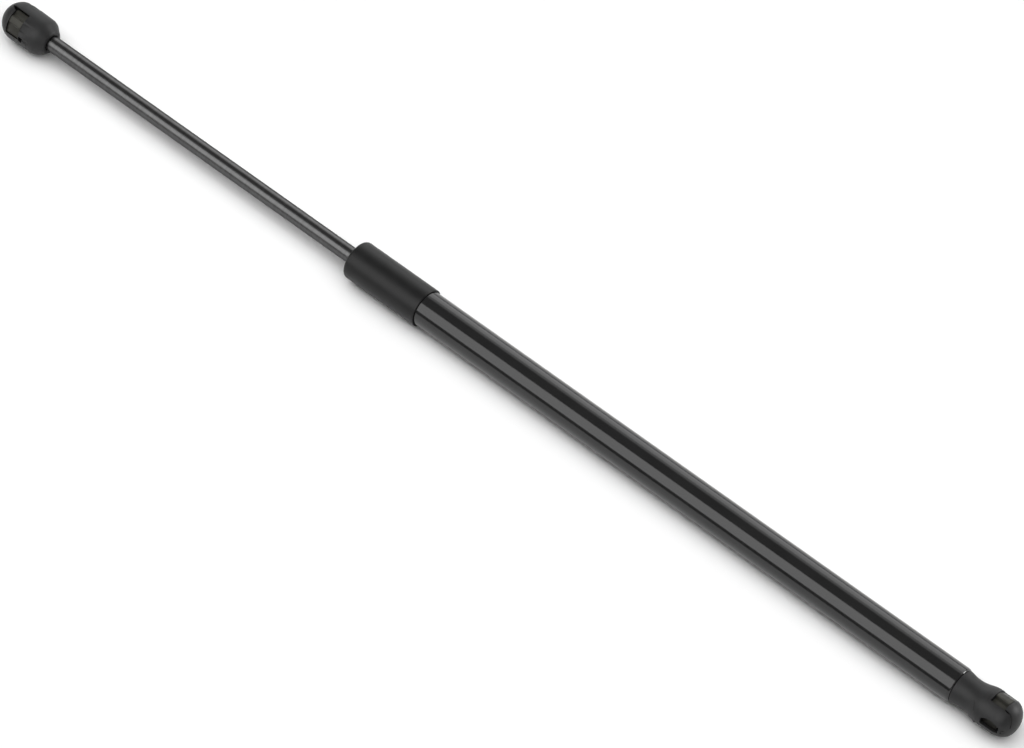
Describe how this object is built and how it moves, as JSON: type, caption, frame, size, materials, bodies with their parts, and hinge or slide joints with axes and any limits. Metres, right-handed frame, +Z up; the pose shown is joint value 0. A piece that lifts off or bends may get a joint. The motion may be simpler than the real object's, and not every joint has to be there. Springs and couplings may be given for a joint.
{
  "type": "gas strut stay",
  "caption": "Gas-charged strut with a steel rod sliding in a black tube and a push-on plastic ball socket at each end, to lift and hold a shutter, flap or lid.",
  "frame": {"origin": "middle of the overall length on the strut's axis, stored fully extended", "axes": "+X along the strut from the rod end to the tube end; +Z up as the strut lies on a floor"},
  "size_m": [0.6194, 0.0198, 0.0198],
  "materials": {
    "gloss_black_paint": "gloss black enamel",
    "nitrided_steel": "dark satin, nitrided and polished",
    "black_sleeve": "matte black",
    "socket_plastic": "dark grey glass-filled nylon, matte",
    "clip_steel": "dark olive passivated spring steel",
    "plain_steel": "turned steel",
    "aluminium": "turned",
    "bush_bronze": "bronze-backed bearing strip",
    "seal_rubber": "nitrile rubber",
    "piston_plastic": "off-white bearing plastic"
  },
  "bodies": {
    "cylinder": {"cylinder_tube": "gloss_black_paint", "protective_sleeve": "black_sleeve", "tube_end_plug": "plain_steel", "plug_o_ring": "seal_rubber", "wiper_ring": "seal_rubber", "rod_guide": "aluminium", "guide_bush": "bush_bronze", "guide_o_ring": "seal_rubber", "rod_seal": "seal_rubber", "seal_washer": "plain_steel", "tube_end_socket": "socket_plastic"},
    "piston_seal": {"piston_ring": "piston_plastic"},
    "rod_assembly": {"piston_rod": "nitrided_steel", "rebound_stop": "seal_rubber", "piston": "aluminium", "valve_disc": "plain_steel", "piston_nut": "plain_steel", "rod_end_socket": "socket_plastic"},
    "rod_end_clip": {"rod_end_clip": "clip_steel"},
    "tube_end_clip": {"tube_end_clip": "clip_steel"}
  },
  "joints": [
    {"name": "rod_slide", "type": "slide", "parent": "cylinder", "child": "piston_seal", "axis": [1, 0, 0], "range_m": [0, 0.185], "stiffness_N_per_m": 380, "springref_m": -1.05},
    {"name": "rod_spin", "type": "hinge", "parent": "piston_seal", "child": "rod_assembly", "pos_m": [0, 0, 0], "axis": [1, 0, 0], "continuous": true},
    {"name": "rod_end_clip_release", "type": "slide", "parent": "rod_assembly", "child": "rod_end_clip", "axis": [0, -0.7071, 0.7071], "range_m": [0, 0.004]},
    {"name": "tube_end_clip_release", "type": "slide", "parent": "cylinder", "child": "tube_end_clip", "axis": [0, 0.5, 0.866], "range_m": [0, 0.004]}
  ]
}
